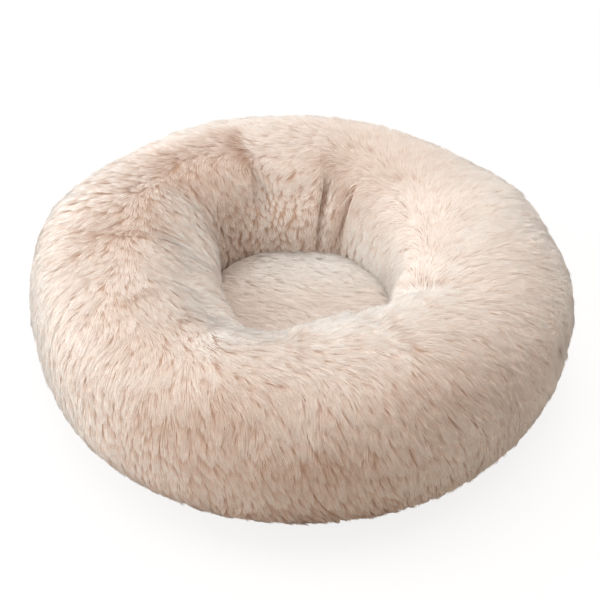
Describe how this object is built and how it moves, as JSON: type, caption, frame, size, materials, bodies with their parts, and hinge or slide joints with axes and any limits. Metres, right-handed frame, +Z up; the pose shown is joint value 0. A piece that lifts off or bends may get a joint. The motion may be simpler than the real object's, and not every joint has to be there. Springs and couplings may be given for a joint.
{
  "type": "pet bed",
  "caption": "Round plush pet bed: a stuffed ring of long-pile fur around a sunken crowned cushion, on a flat base sheet, with a hidden zip under the back.",
  "frame": {"origin": "centre of the bed's underside, on the floor", "axes": "+Z up; the picture looks along +Y from the front; +X to the right as seen from the front"},
  "size_m": [0.5982, 0.5982, 0.16],
  "materials": {
    "base_cloth": "matte",
    "plush": "matte",
    "liner_cloth": "matte",
    "fibre": "matte",
    "zip_tape": "matte",
    "zip_coil": "satin",
    "zip_stop": "satin",
    "zip_enamel": "satin"
  },
  "bodies": {
    "bed": {"base_sheet": "base_cloth", "rim_cover_left": "plush", "rim_cover_right": "plush", "rim_liner": "liner_cloth", "rim_fill": "fibre", "cushion_cover": "plush", "cushion_fill": "fibre", "zip_tape_lower": "zip_tape", "zip_tape_upper": "zip_tape", "zip_coil_lower": "zip_coil", "zip_coil_upper": "zip_coil", "zip_stop_closed_end": "zip_stop", "zip_stop_open_end": "zip_stop"},
    "slider": {"zip_slider": "zip_enamel"},
    "pull": {"zip_pull": "zip_enamel"}
  },
  "joints": [
    {"name": "zip_travel", "type": "hinge", "parent": "bed", "child": "slider", "pos_m": [0, 0, 0], "axis": [0, 0, 1], "range_deg": [0, 59.4]},
    {"name": "pull_flip", "type": "hinge", "parent": "slider", "child": "pull", "pos_m": [-0.13071, 0.21527, 0.01275], "axis": [0, 0, 1], "range_deg": [0, 180]}
  ]
}
